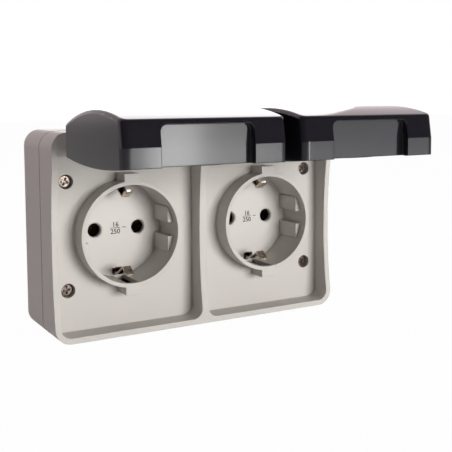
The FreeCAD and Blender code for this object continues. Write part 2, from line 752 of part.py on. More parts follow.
def make_lid_seal(name, side):
    """Rubber ring under the lid that lies on the collar's front when the lid is shut."""
    body = new_body(name)
    top = -s.lid_base + s.skirt_set + s.seal_seat
    reach = hinge_depth - collar_depth - s.seal_press
    sk = sketch(body, LEVEL, top)
    circle(sk, 0, 0, s.seal_outer)
    circle(sk, 0, 0, s.seal_bore)
    pad(body, sk, reach + top, back=True)
    place(body, side * s.spacing / 2, hinge_depth + s.hinge_rise, s.hinge_rise)
    return body


def make_hinge_pin(name, side):
    body = new_body(name)
    sk = sketch(body, SIDE)
    circle(sk, 0, 0, s.pin)
    pad(body, sk, 2 * lug_offset + s.lug_wide + 2 * s.pin_over, both=True)
    place(body, side * lid_offset, hinge_depth, s.hinge_rise)
    return body


def make_grommet():
    """Rubber bush in the cable entry, closed by a thin cone that is cut open to fit."""
    body = new_body("cable_grommet")
    outer, inner = s.flange_thick, s.wall + s.flange_thick
    throat = s.entry - s.bush_wall
    sk = sketch(body, FRONT)
    thin = size(s.membrane)
    outline(sk, [(0, -thin), (throat, -outer), (s.grommet_flange, -outer), (s.grommet_flange, 0),
                 (s.entry, 0), (s.entry, s.wall), (s.grommet_lip, s.wall), (s.entry - s.lip_lead, inner),
                 (throat, inner), (throat, 0), (0, thin)])
    revolve(body, sk, "V_Axis")
    place(body, 0, entry_depth, -s.bottom_drop)
    return body


make_back_box()
make_box_gasket()
make_front_frame()
sides = (("left", -1), ("right", 1))
for word, side in sides:
    x = side * s.spacing / 2
    make_socket_insert("socket_insert_" + word, x)
    make_contact_base("contact_base_" + word, x)
    make_contact_sleeve("line_sleeve_" + word, x - s.pin_pitch / 2)
    make_contact_sleeve("neutral_sleeve_" + word, x + s.pin_pitch / 2)
    make_earth_spring("earth_spring_" + word, x)
    make_lid("lid_" + word, side)
    make_lid_seal("lid_seal_" + word, side)
    make_hinge_pin("hinge_pin_" + word, side)
make_pole_bar("line_bar", 0)
make_pole_bar("neutral_bar", 180)
make_earth_bar()
make_terminal_block()
terminals = (("line", bar_front, s.rail_rise), ("neutral", bar_front, -s.rail_rise),
             ("earth", earth_front, earth_rise))
for word, rear, z in terminals:
    make_clamp_washer("clamp_washer_" + word, rear, z)
    make_screw("terminal_screw_" + word, (0, rear + s.clamp_thick, z), s.terminal_head,
               s.terminal_head_high, s.terminal_shank, s.terminal_deep + s.clamp_thick)
for (x, z), word in zip(screws, ("lower_left", "upper_left", "lower_right", "upper_right")):
    make_screw("cover_screw_" + word, (x, head_rest, z), s.screw_head, s.screw_head_high,
               s.screw_shank, s.screw_long)
make_grommet()

doc.recompute()
for item in doc.Objects:
    if "Invalid" in item.State or "Error" in item.State:
        raise RuntimeError(f"{item.Label} failed: {item.State}")
for body in [item for item in doc.Objects if item.TypeId == "PartDesign::Body"]:
    shape = body.Shape
    if shape.isNull() or not shape.isValid() or len(shape.Solids) != 1:
        raise RuntimeError(f"{body.Label} is not one valid solid")
    shape.exportStep(f"parts/{body.Label}.step")
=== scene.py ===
# %% [markdown]
# # A two-gang outdoor socket, dressed for its portrait
# The socket is a grey moulded box that is screwed to a wall. A grey front frame closes it, and two
# glossy black lids on hinge pins keep the rain out of the two sockets. The solid model already gives
# every piece its size and place. This lesson gives each piece its finish, adds the small things that a
# solid model leaves out, and lights the whole as a small product on a white table.
#
# The solid model is loaded first, and nothing below moves it. Lengths are in metres.

import math

import bmesh
import bpy
from mathutils import Matrix, Vector


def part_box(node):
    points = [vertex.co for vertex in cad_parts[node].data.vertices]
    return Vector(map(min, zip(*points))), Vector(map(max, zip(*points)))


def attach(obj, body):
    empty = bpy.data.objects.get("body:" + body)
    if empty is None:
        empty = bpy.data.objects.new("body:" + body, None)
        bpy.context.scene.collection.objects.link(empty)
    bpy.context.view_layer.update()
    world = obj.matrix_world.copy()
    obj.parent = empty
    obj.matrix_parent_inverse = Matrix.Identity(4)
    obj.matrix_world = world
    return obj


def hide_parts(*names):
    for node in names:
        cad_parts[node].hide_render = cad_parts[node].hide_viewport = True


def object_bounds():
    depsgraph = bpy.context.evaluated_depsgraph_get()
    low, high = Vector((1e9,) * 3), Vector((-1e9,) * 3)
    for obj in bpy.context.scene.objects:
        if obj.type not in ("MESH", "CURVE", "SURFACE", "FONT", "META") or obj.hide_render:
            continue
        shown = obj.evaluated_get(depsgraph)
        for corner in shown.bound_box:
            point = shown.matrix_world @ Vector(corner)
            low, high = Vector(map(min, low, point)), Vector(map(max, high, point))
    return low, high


MM = 0.001
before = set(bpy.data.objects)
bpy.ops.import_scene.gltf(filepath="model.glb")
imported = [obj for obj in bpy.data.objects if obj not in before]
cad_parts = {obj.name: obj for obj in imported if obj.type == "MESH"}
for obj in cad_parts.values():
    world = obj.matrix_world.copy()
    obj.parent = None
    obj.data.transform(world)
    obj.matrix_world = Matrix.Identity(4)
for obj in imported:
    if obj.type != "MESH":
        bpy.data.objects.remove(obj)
cad_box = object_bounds()
print("solid pieces:", len(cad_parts))

# %% [markdown]
# ## The camera
# The picture was taken from the left and a little above, quite close, so the left end of the box looks
# taller than the right one. A camera is placed by three turns: it starts looking along +Y, is turned
# about the upright axis, then tipped, then rolled. The lens is long for the picture's width, and the
# view is moved down a little so that upright edges stay nearly upright, as with a shift lens.

# %% Place the camera
PICTURE = 452
CAMERA_PLACE = (-0.15816, -0.33721, 0.05392)
CAMERA_TURN, CAMERA_TIP, CAMERA_ROLL = 30.840, -4.693, -0.220
FOCAL_PIXELS, AXIS_COLUMN, AXIS_ROW = 830.6, 250.0, 165.0

camera_data = bpy.data.cameras.new("portrait_camera")
camera_data.sensor_width = 36.0
camera_data.lens = FOCAL_PIXELS / PICTURE * camera_data.sensor_width
camera_data.shift_x = (PICTURE / 2 - AXIS_COLUMN) / PICTURE
camera_data.shift_y = (AXIS_ROW - PICTURE / 2) / PICTURE
camera_data.clip_start, camera_data.clip_end = 0.01, 20.0
camera = bpy.data.objects.new("portrait_camera", camera_data)
turn = Matrix.Rotation(math.radians(-CAMERA_TURN), 4, "Z")
tip = Matrix.Rotation(math.radians(90 + CAMERA_TIP), 4, "X")
roll = Matrix.Rotation(math.radians(CAMERA_ROLL), 4, "Z")
camera.matrix_world = Matrix.Translation(CAMERA_PLACE) @ turn @ tip @ roll
bpy.context.scene.collection.objects.link(camera)
bpy.context.scene.camera = camera
print("lens", round(camera_data.lens, 1), "mm, shift", round(camera_data.shift_x, 3),
      round(camera_data.shift_y, 3))

# %% [markdown]
# ## Small helpers for node trees
# A material is a tree of nodes. Short helpers keep the trees readable: one adds a node and sets its
# values, and one joins an output to an input. Colours are written as screen colours from 0 to 255 and
# turned into the linear numbers that the renderer works with. Shapes that repeat or follow a path are
# trees too: the last helpers start such a tree, end it, and bake what it makes into a plain mesh.

# %% Node helpers
def screen(red, green, blue):
    """A screen colour from 0 to 255 as the renderer's linear colour."""
    def linear(v):
        v /= 255
        return v / 12.92 if v <= 0.04045 else ((v + 0.055) / 1.055) ** 2.4
    return linear(red), linear(green), linear(blue), 1.0


def add(tree, kind, settings=None, **values):
    """A new node, with its settings and the values of its inputs."""
    node = tree.nodes.new(kind)
    for name, value in (settings or {}).items():
        setattr(node, name, value)
    for name, value in values.items():
        node.inputs[name.replace("_", " ")].default_value = value
    return node


def join(tree, source, target):
    """Joins an output to an input: each is a node with the name or number of its socket."""
    tree.links.new(source[0].outputs[source[1]], target[0].inputs[target[1]])


def blank_group(name, inputs, outputs):
    """An empty shader group with named inputs (name, kind, value) and outputs (name, kind)."""
    tree = bpy.data.node_groups.new(name, "ShaderNodeTree")
    for label, kind, value in inputs:
        socket = tree.interface.new_socket(label, in_out="INPUT", socket_type=kind)
        socket.default_value = value
    for label, kind in outputs:
        tree.interface.new_socket(label, in_out="OUTPUT", socket_type=kind)
    return tree, tree.nodes.new("NodeGroupInput"), tree.nodes.new("NodeGroupOutput")


def show(name, mesh):
    """An object at the origin with this mesh, put in the scene."""
    piece = bpy.data.objects.new(name, mesh)
    bpy.context.scene.collection.objects.link(piece)
    return piece


def blank_shape_tree(name, inputs, output):
    """An empty Geometry Nodes tree with named inputs (name, kind) and one geometry output."""
    tree = bpy.data.node_groups.new(name, "GeometryNodeTree")
    for label, kind in inputs:
        tree.interface.new_socket(label, in_out="INPUT", socket_type=kind)
    tree.interface.new_socket(output, in_out="OUTPUT", socket_type="NodeSocketGeometry")
    return tree, tree.nodes.new("NodeGroupInput"), tree.nodes.new("NodeGroupOutput")


def end_shape_tree(tree, shape, given, finish_name, out):
    """Ends a tree: makes the copies real and paints them with one of its inputs."""
    real, paint = add(tree, "GeometryNodeRealizeInstances"), add(tree, "GeometryNodeSetMaterial")
    join(tree, shape, (real, "Geometry"))
    join(tree, (real, "Geometry"), (paint, "Geometry"))
    join(tree, (given, finish_name), (paint, "Material"))
    join(tree, (paint, "Geometry"), (out, 0))


def bake(name, start_mesh, tree, values):
    """The plain mesh that a tree makes of start_mesh with these values, as a new piece."""
    holder = show(name + "_start", start_mesh)
    modifier = holder.modifiers.new(tree.name, "NODES")
    modifier.node_group = tree
    for item in tree.interface.items_tree:
        if item.in_out == "INPUT" and item.name in values:
            modifier[item.identifier] = values[item.name]
    ready = holder.evaluated_get(bpy.context.evaluated_depsgraph_get())
    mesh = bpy.data.meshes.new_from_object(ready)
    bpy.data.objects.remove(holder)
    return show(name, mesh)


print("white is", screen(255, 255, 255))

# %% [markdown]
# ## The look of moulded plastic
# A plastic part copies the steel mould it was pressed in. The steel is spark eroded, so the plastic has a
# fine, even grain, and the melt flows in slightly cloudy. Grey box, black lids and rubber all share this,
# with other sizes, so it is one group: noise in millimetres tints the colour, a finer noise is the grain,
# and a third one changes the gloss where fingers have been. No moulded edge is knife sharp, so a bevel
# node bends the normal over the last fraction of a millimetre. The group gives out a colour, a roughness
# and a normal, and the shader itself stays in each material.

# %% The moulded finish group
FLOAT, COLOUR, VECTOR = "NodeSocketFloat", "NodeSocketColor", "NodeSocketVector"


def make_moulded_finish():
    tree, given, out = blank_group(
        "moulded_finish",
        [("Colour", COLOUR, (0.5, 0.5, 0.5, 1)), ("Cloud Colour", COLOUR, (0.4, 0.4, 0.4, 1)),
         ("Clouds per m", FLOAT, 40.0), ("Grains per m", FLOAT, 4000.0), ("Grain Depth", FLOAT, 0.1),
         ("Roughness", FLOAT, 0.4), ("Handling", FLOAT, 0.1), ("Edge Round", FLOAT, 0.0004)],
        [("Colour", COLOUR), ("Roughness", FLOAT), ("Normal", VECTOR)])
    place = add(tree, "ShaderNodeTexCoord")
    cloud = add(tree, "ShaderNodeTexNoise", Detail=3.0, Roughness=0.5)
    grain = add(tree, "ShaderNodeTexNoise", Detail=2.0, Roughness=0.6)
    touch = add(tree, "ShaderNodeTexNoise", Scale=28.0, Detail=4.0, Roughness=0.6)
    for noise in (cloud, grain, touch):
        join(tree, (place, "Object"), (noise, "Vector"))
    join(tree, (given, "Clouds per m"), (cloud, "Scale"))
    join(tree, (given, "Grains per m"), (grain, "Scale"))
    tint = add(tree, "ShaderNodeMix", {"data_type": "RGBA"})
    join(tree, (cloud, "Fac"), (tint, "Factor"))
    join(tree, (given, "Colour"), (tint, 6))
    join(tree, (given, "Cloud Colour"), (tint, 7))
    join(tree, (tint, 2), (out, "Colour"))
    spread = add(tree, "ShaderNodeMapRange")
    spread.inputs["To Min"].default_value, spread.inputs["To Max"].default_value = -1.0, 1.0
    join(tree, (touch, "Fac"), (spread, "Value"))
    gloss = add(tree, "ShaderNodeMath", {"operation": "MULTIPLY_ADD"})
    join(tree, (spread, "Result"), (gloss, 0))
    join(tree, (given, "Handling"), (gloss, 1))
    join(tree, (given, "Roughness"), (gloss, 2))
    join(tree, (gloss, 0), (out, "Roughness"))
    bump = add(tree, "ShaderNodeBump", Distance=0.0001)
    join(tree, (grain, "Fac"), (bump, "Height"))
    join(tree, (given, "Grain Depth"), (bump, "Strength"))
    edge = add(tree, "ShaderNodeBevel", {"samples": 6})
    join(tree, (given, "Edge Round"), (edge, "Radius"))
    join(tree, (edge, 0), (bump, "Normal"))
    join(tree, (bump, 0), (out, "Normal"))
    return tree


moulded_finish = make_moulded_finish()
print("group", moulded_finish.name, "with", len(moulded_finish.nodes), "nodes")

# %% [markdown]
# ## The look of bright metal
# The screws, the earthing springs and the contacts are small stamped or cold-formed metal parts. Up
# close they are never one even mirror: rolling leaves fine lines along the strip, and tumbling in the
# plating drum blurs them in patches. The lines are a noise that is stretched along one axis, and both
# masks change the roughness, because on metal that is what the eye reads.

# %% The bright metal group
def make_bright_metal():
    tree, given, out = blank_group(
        "bright_metal",
        [("Colour", COLOUR, (0.8, 0.8, 0.8, 1)), ("Stain Colour", COLOUR, (0.5, 0.45, 0.4, 1)),
         ("Roughness", FLOAT, 0.25), ("Line Depth", FLOAT, 0.15)],
        [("Colour", COLOUR), ("Roughness", FLOAT), ("Normal", VECTOR)])
    place = add(tree, "ShaderNodeTexCoord")
    stretch = add(tree, "ShaderNodeMapping", Scale=(1.0, 0.08, 1.0))
    join(tree, (place, "Object"), (stretch, "Vector"))
    lines = add(tree, "ShaderNodeTexNoise", Scale=9000.0, Detail=2.0)
    join(tree, (stretch, "Vector"), (lines, "Vector"))
    patches = add(tree, "ShaderNodeTexNoise", Scale=600.0, Detail=3.0)
    join(tree, (place, "Object"), (patches, "Vector"))
    keep = add(tree, "ShaderNodeMapRange")
    keep.inputs["From Min"].default_value, keep.inputs["From Max"].default_value = 0.45, 0.75
    join(tree, (patches, "Fac"), (keep, "Value"))
    tint = add(tree, "ShaderNodeMix", {"data_type": "RGBA"})
    join(tree, (keep, "Result"), (tint, "Factor"))
    join(tree, (given, "Colour"), (tint, 6))
    join(tree, (given, "Stain Colour"), (tint, 7))
    join(tree, (tint, 2), (out, "Colour"))
    rough = add(tree, "ShaderNodeMath", {"operation": "MULTIPLY_ADD"})
    rough.inputs[1].default_value = 0.25
    join(tree, (lines, "Fac"), (rough, 0))
    join(tree, (given, "Roughness"), (rough, 2))
    join(tree, (rough, 0), (out, "Roughness"))
    bump = add(tree, "ShaderNodeBump", Distance=0.00005)
    join(tree, (lines, "Fac"), (bump, "Height"))
    join(tree, (given, "Line Depth"), (bump, "Strength"))
    join(tree, (bump, 0), (out, "Normal"))
    return tree


bright_metal = make_bright_metal()
print("group", bright_metal.name, "with", len(bright_metal.nodes), "nodes")

# %% [markdown]
# ## The finishes of this socket
# The group's three outputs feed the shader's colour, roughness and normal. What is the same all over the
# piece, such as how much a coat or a metal reflects, is set on the shader itself.

# %% A material from a finish group
def finish(name, group, settings, metal=0.0, **plain):
    """A material whose shader is fed by a finish group with this piece's own values."""
    material = bpy.data.materials.new(name)
    material.use_nodes = True
    tree = material.node_tree
    shader = tree.nodes["Principled BSDF"]
    look = add(tree, "ShaderNodeGroup", {"node_tree": group})
    for label, value in settings.items():
        look.inputs[label].default_value = value
    join(tree, (look, "Colour"), (shader, "Base Color"))
    join(tree, (look, "Roughness"), (shader, "Roughness"))
    join(tree, (look, "Normal"), (shader, "Normal"))
    shader.inputs["Metallic"].default_value = metal
    for label, value in plain.items():
        shader.inputs[label.replace("_", " ")].default_value = value
    return material


def plastic(name, colour, cloud, roughness, grain=0.15, handling=0.05, grains=4200.0, **plain):
    return finish(name, moulded_finish, {
        "Colour": screen(*colour), "Cloud Colour": screen(*cloud), "Roughness": roughness,
        "Grain Depth": grain, "Handling": handling, "Grains per m": grains}, **plain)


def metal(name, colour, stain, roughness, lines=0.15):
    return finish(name, bright_metal, {
        "Colour": screen(*colour), "Stain Colour": screen(*stain), "Roughness": roughness,
        "Line Depth": lines}, metal=1.0)


# %% [markdown]
# The box is a warm light grey, a little matt. The socket inserts are pressed in the same grey from a
# smoother mould. The lids are nearly black and glossy, the seals are dull rubber, the carriers inside are
# dark, the contacts are brass, and the springs and screws are plated steel.

# %% Make the finishes
casing_grey = plastic("casing_grey", (191, 187, 181), (185, 181, 175), 0.42, grain=0.22)
insert_grey = plastic("insert_grey", (197, 193, 187), (191, 187, 181), 0.34, grain=0.1)
lid_black = plastic("lid_black", (25, 24, 29), (21, 20, 25), 0.13, grain=0.02, handling=0.04,
                    grains=1500.0)
seal_black = plastic("seal_black", (34, 34, 35), (26, 26, 27), 0.62, grain=0.3, grains=2500.0)
carrier_black = plastic("carrier_black", (44, 43, 44), (36, 35, 36), 0.45)
contact_brass = metal("contact_brass", (214, 178, 106), (176, 132, 74), 0.22)
sleeve_brass = metal("sleeve_brass", (118, 98, 66), (84, 66, 44), 0.3)
spring_nickel = metal("spring_nickel", (226, 214, 202), (150, 130, 112), 0.06)
screw_plate = metal("screw_plate", (196, 182, 170), (92, 76, 66), 0.14)
pin_steel = metal("pin_steel", (206, 204, 202), (160, 156, 150), 0.2)
print("finishes:", len(bpy.data.materials))

# %% [markdown]
# Each solid piece gets its finish by the start of its name, so left and right pieces share one.

# %% Dress the solid pieces
DRESS = {
    "back_box": casing_grey, "front_frame": casing_grey, "socket_insert": insert_grey,
    "lid_left": lid_black, "lid_right": lid_black, "lid_seal": seal_black, "box_gasket": seal_black,
    "cable_grommet": seal_black, "contact_base": carrier_black, "terminal_block": carrier_black,
    "line_bar": contact_brass, "neutral_bar": contact_brass, "earth_bar": contact_brass,
    "line_sleeve": sleeve_brass, "neutral_sleeve": sleeve_brass, "earth_spring": spring_nickel,
    "clamp_washer": screw_plate, "terminal_screw": screw_plate, "cover_screw": screw_plate,
    "hinge_pin": pin_steel,
}
for name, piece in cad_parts.items():
    dress = next(DRESS[start] for start in DRESS if name.startswith(start))
    piece.data.materials.clear()
    piece.data.materials.append(dress)
    print(name, "->", dress.name)

# %% [markdown]
# ## The rating marks
# Each socket floor carries a small print: the current above a bar, the voltage below it, and the sign for
# alternating current beside them. It is pad printing, a film of dark ink a few hundredths of a millimetre
# thick. It could be painted in a texture, but a mesh keeps its edge sharp at any distance. Text is made as
# a curve, filled, given its thickness, and turned into a mesh before it is put in place.

# %% Print the marks
INK_FILM = 0.03 * MM
INK_SPREAD = 0.03 * MM
WELD = 1e-7
CAPITAL_HEIGHT = 0.7
WELL_FLOOR = 17.5 * MM
MARK_LINES = (("16", -0.5, 0.8, 2.0), ("250", -0.6, -2.1, 2.0), ("~", 3.3, -0.35, 1.9))
BAR = (-2.6, 1.6, 0.26, 0.46)

ink = plastic("print_ink", (28, 27, 27), (46, 44, 44), 0.5, grain=0.1)


def letters(text, x, z, height):
    """A line of print as a flat mesh that faces -Y, centred on x and standing on z."""
    curve = bpy.data.curves.new("print", "FONT")
    curve.body, curve.size, curve.align_x = text, height * MM / CAPITAL_HEIGHT, "CENTER"
    curve.extrude, curve.resolution_u, curve.offset = INK_FILM / 2, 3, INK_SPREAD
    holder = bpy.data.objects.new("print", curve)
    mesh = bpy.data.meshes.new_from_object(holder)
    bpy.data.objects.remove(holder)
    mesh.transform(Matrix.Translation((x * MM, 0, z * MM)) @ Matrix.Rotation(math.pi / 2, 4, "X"))
    return mesh


def bar_mesh(left, right, low, high):
    """The bar of the print, from left to right and low to high, in millimetres."""
    build = bmesh.new()
    bmesh.ops.create_cube(build, size=1.0)
    size = Vector((right - left, INK_FILM / MM, high - low)) * MM
    middle = Vector(((left + right) / 2, 0, (low + high) / 2)) * MM
    bmesh.ops.transform(build, matrix=Matrix.Translation(middle) @ Matrix.Diagonal((*size, 1)),
                        verts=build.verts)
    mesh = bpy.data.meshes.new("bar")
    build.to_mesh(mesh)
    build.free()
    return mesh


def merged(name, meshes, material):
    """One object at the origin from several meshes."""
    build = bmesh.new()
    for mesh in meshes:
        build.from_mesh(mesh)
    bmesh.ops.remove_doubles(build, verts=build.verts, dist=WELD)
    mesh = bpy.data.meshes.new(name)
    build.to_mesh(mesh)
    build.free()
    mesh.materials.append(material)
    return show(name, mesh)


for side in ("left", "right"):
    low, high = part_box("socket_insert_" + side)
    meshes = [letters(*line) for line in MARK_LINES] + [bar_mesh(*BAR)]
    centre = Vector(((low.x + high.x) / 2, -WELL_FLOOR - INK_FILM / 2, 0))
    for mesh in meshes:
        mesh.transform(Matrix.Translation(centre))
    marks = merged("rating_marks_" + side, meshes, ink)
    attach(marks, "casing")
    print(marks.name, len(marks.data.polygons), "faces")

# %% [markdown]
# ## One screw of each kind
# Four screws close the front frame, and three more clamp the wires inside. The solid model has pegs in
# their place, with the right size but no thread. A real one is a pan head with a cross recess on a coarse
# rolled thread. A screw is round about its axis, so it is built ring by ring: the rings of the thread swell
# and shrink with the angle, and a full turn of angle shifts the swelling by one pitch, which is a helix.
# The recess is a cross cut into the flat of the head that narrows towards its floor, as a driver's tip does.

# %% Build a screw
RING_STEPS = 36
HEAD_PROFILE = ((0, 0.80), (0.04, 0.86), (0.16, 0.94), (0.36, 0.985), (0.6, 1.0), (1.0, 1.0))
ROWS_PER_PITCH = 6
CORE_SHARE, TIP_SHARE, TIP_RADIUS, TAPER = 0.76, 0.15, 0.12, 1.6
THREAD_WIDTH = 0.6
RECESS_TAPER_WIDE, RECESS_TAPER_LONG = 0.55, 0.6


def ring_of(build, y, radius_at):
    """A ring of corners about Y at y. radius_at gives the radius in millimetres at a part of a turn."""
    corners = []
    for i in range(RING_STEPS):
        turn_part = i / RING_STEPS
        angle = 2 * math.pi * turn_part
        radius = radius_at(turn_part) * MM
        x, z = radius * math.cos(angle), radius * math.sin(angle)
        corners.append(build.verts.new((x, y * MM, z)))
    return corners


def skin(build, first, second):
    """Smooth faces between two rings."""
    for i in range(RING_STEPS):
        j = (i + 1) % RING_STEPS
        build.faces.new((first[i], first[j], second[j], second[i])).smooth = True


def cross_of(build, y, half_wide, half_long):
    """The outline of a cross at y, in millimetres."""
    w, l = half_wide, half_long
    outline = [(w, l), (w, w), (l, w), (l, -w), (w, -w), (w, -l),
               (-w, -l), (-w, -w), (-l, -w), (-l, w), (-w, w), (-w, l)]
    return [build.verts.new((x * MM, y * MM, z * MM)) for x, z in outline]


def loop_edges(build, corners):
    """The edges that join the corners in a closed loop, made where they are missing."""
    return [build.edges.get(pair) or build.edges.new(pair)
            for pair in zip(corners, corners[1:] + corners[:1])]


def build_screw(name, head, rise, shank, length, pitch, recess):
    """A screw along +Y whose head rests at y 0. recess is its half width, half length and depth."""
    build = bmesh.new()
    half_wide, half_long, deep = recess
    rings = [ring_of(build, -rise + drop * rise, lambda _, radius=share * head: radius)
             for drop, share in HEAD_PROFILE]
    rings.append(ring_of(build, 0, lambda _: shank))
    core, rows = shank * CORE_SHARE, int(length / pitch * ROWS_PER_PITCH)
    for row in range(1, rows + 1):
        y = length * row / rows
        fade = min(1.0, (length - y) / (TAPER * shank))

        def thread(turn_part):
            phase = (y / pitch - turn_part) % 1.0
            swell = max(0.0, 1 - abs(2 * phase - 1) / THREAD_WIDTH)
            radius = (core + (shank - core) * swell) * (TIP_SHARE + (1 - TIP_SHARE) * fade)
            return max(TIP_RADIUS, radius)
        rings.append(ring_of(build, y, thread))
    for first, second in zip(rings, rings[1:]):
        skin(build, first, second)
    build.faces.new(rings[-1])
    rim = cross_of(build, -rise, half_wide, half_long)
    floor = cross_of(build, -rise + deep, half_wide * RECESS_TAPER_WIDE,
                     half_long * RECESS_TAPER_LONG)
    edges = loop_edges(build, rings[0]) + loop_edges(build, rim)
    bmesh.ops.triangle_fill(build, use_beauty=True, edges=edges)
    for i in range(len(rim)):
        j = (i + 1) % len(rim)
        build.faces.new((rim[i], rim[j], floor[j], floor[i]))
    build.faces.new(floor)
    bmesh.ops.recalc_face_normals(build, faces=build.faces)
    mesh = bpy.data.meshes.new(name)
    build.to_mesh(mesh)
    build.free()
    mesh.materials.append(screw_plate)
    return bpy.data.objects.new(name, mesh)


RECESS = (0.45, 1.6, 1.1)
COVER_RISE, TERMINAL_RISE = 2.1, 2.0
cover_pattern = build_screw("cover_pattern", 2.6, COVER_RISE, 1.5, 13.0, 1.6, RECESS)
terminal_pattern = build_screw("terminal_pattern", 2.8, TERMINAL_RISE, 1.5, 4.2, 0.7, RECESS)
print("faces:", len(cover_pattern.data.polygons), len(terminal_pattern.data.polygons))

# %% [markdown]
# A Geometry Nodes tree then sets the same screw at every place. No two screws stop at the same angle, so
# each gets a turn of its own about its axis, from a seeded random value. The copies are made real and
# painted in the tree, and the result becomes a plain mesh that stands for the pegs.

# %% Set the screws
def make_set_screws():
    tree, given, out = blank_shape_tree(
        "set_screws",
        (("Places", "NodeSocketGeometry"), ("Screw", "NodeSocketObject"),
         ("Metal", "NodeSocketMaterial"), ("Seed", "NodeSocketInt")), "Screws")
    screw = add(tree, "GeometryNodeObjectInfo")
    join(tree, (given, "Screw"), (screw, "Object"))
    turn_by = add(tree, "FunctionNodeRandomValue", {"data_type": "FLOAT"})
    turn_by.inputs[2].default_value, turn_by.inputs[3].default_value = 0.0, math.tau
    join(tree, (given, "Seed"), (turn_by, "Seed"))
    about_axis = add(tree, "ShaderNodeCombineXYZ")
    join(tree, (turn_by, 1), (about_axis, "Y"))
    put = add(tree, "GeometryNodeInstanceOnPoints")
    join(tree, (given, "Places"), (put, "Points"))
    join(tree, (screw, "Geometry"), (put, "Instance"))
    join(tree, (about_axis, 0), (put, "Rotation"))
    end_shape_tree(tree, (put, "Instances"), given, "Metal", out)
    return tree


set_screws = make_set_screws()


def rest_of(node, rise):
    """Where the head of a peg rests: the middle of its box in X and Z, and rise behind its front."""
    low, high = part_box(node)
    return ((low.x + high.x) / 2, low.y + rise * MM, (low.z + high.z) / 2)


def screws_for(name, pattern, rise, seed, pegs):
    """A copy of the pattern screw in the place of each peg."""
    places = bpy.data.meshes.new(name + "_places")
    places.from_pydata([rest_of(peg, rise) for peg in pegs], [], [])
    piece = bake(name, places, set_screws, {"Screw": pattern, "Metal": screw_plate, "Seed": seed})
    bpy.data.objects.remove(pattern)
    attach(piece, "casing")
    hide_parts(*pegs)
    print(name, len(piece.data.polygons), "faces", [m.name for m in piece.data.materials])


screws_for("cover_screws", cover_pattern, COVER_RISE, 7, [
    "cover_screw_" + corner
    for corner in ("lower_left", "lower_right", "upper_left", "upper_right")])
screws_for("terminal_screws", terminal_pattern, TERMINAL_RISE, 11, [
    "terminal_screw_" + wire for wire in ("line", "neutral", "earth")])

# %% [markdown]
# ## The parting line
# Where the front frame meets the back box, the two rounded mould edges leave a fine groove all round, and
# the shade in it reads as a dark line on the left side. The solids meet flush there, so that shade is
# painted:
# a Geometry Nodes tree sweeps a thin dark grey bead along the outline of the box, sunk until only a hair
# of it shows. The bead's grey is painted groove shade, not a colour of the plastic.

# %% Draw the parting line
SEAM_DEPTH, SEAM_BEAD, SEAM_SUNK = 20.5 * MM, 0.30 * MM, 0.22 * MM
BOX_LOW, BOX_TOP, BOX_CORNER = -40.0 * MM, 41.0 * MM, 6.5 * MM
BEAD_SIDES = 10


def make_sweep_bead():
    tree, given, out = blank_shape_tree(
        "sweep_bead",
        (("Path", "NodeSocketGeometry"), ("Bead Radius", "NodeSocketFloat"),
         ("Finish", "NodeSocketMaterial")), "Bead")
    path, sweep = add(tree, "GeometryNodeMeshToCurve"), add(tree, "GeometryNodeCurveToMesh")
    section = add(tree, "GeometryNodeCurvePrimitiveCircle", Resolution=BEAD_SIDES)
    join(tree, (given, "Path"), (path, "Mesh"))
    join(tree, (given, "Bead Radius"), (section, "Radius"))
    join(tree, (path, "Curve"), (sweep, "Curve"))
    join(tree, (section, "Curve"), (sweep, "Profile Curve"))
    end_shape_tree(tree, (sweep, "Mesh"), given, "Finish", out)
    return tree


def outline_of_box(sunk, steps=8):
    """Corners of the rounded outline of the back box at the parting line, sunk by a length."""
    low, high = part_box("back_box")
    left, right, floor, top = low.x + sunk, high.x - sunk, BOX_LOW + sunk, BOX_TOP - sunk
    r = BOX_CORNER - sunk
    centres = [(right - r, top - r), (left + r, top - r),
               (left + r, floor + r), (right - r, floor + r)]
    corners = []
    for quarter, (x, z) in enumerate(centres):
        for i in range(steps + 1):
            angle = math.pi / 2 * (quarter + i / steps)
            corners.append((x + r * math.cos(angle), -SEAM_DEPTH, z + r * math.sin(angle)))
    return corners


# Painted shade: the dark grey of the bead stands in for the shade inside the parting groove.
painted_groove_shade = plastic("painted_groove_shade", (78, 70, 69), (66, 60, 59), 0.7, grain=0.1)
corners = outline_of_box(SEAM_SUNK)
route = bpy.data.meshes.new("parting_route")
route.from_pydata(corners, [(i, (i + 1) % len(corners)) for i in range(len(corners))], [])
parting_line = bake("parting_line", route, make_sweep_bead(),
                    {"Bead Radius": SEAM_BEAD, "Finish": painted_groove_shade})
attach(parting_line, "casing")
print("parting_line", len(parting_line.data.polygons), "faces")

# %% [markdown]
# ## The table
# The socket stands on a plain white table for its portrait. The table is really lit, and keeps a soft
# shadow, but the camera sees it mostly as even white, so that the picture has no horizon. Glossy faces
# mirror a part of that white, and a pale sky behind the object. In front the sky is dark to them, so that
# the fronts of the lids stay black where nothing bright faces them.

# %% Floor and surroundings
FLOOR_SIZE = 6.0
WHITE_TO_CAMERA, WHITE_TO_MIRRORS = 0.98, 0.3
PALE_SKY = (1.0, 0.88, 0.91, 1)
SKY_FRONT_END, SKY_BACK_START = -0.2, 0.3


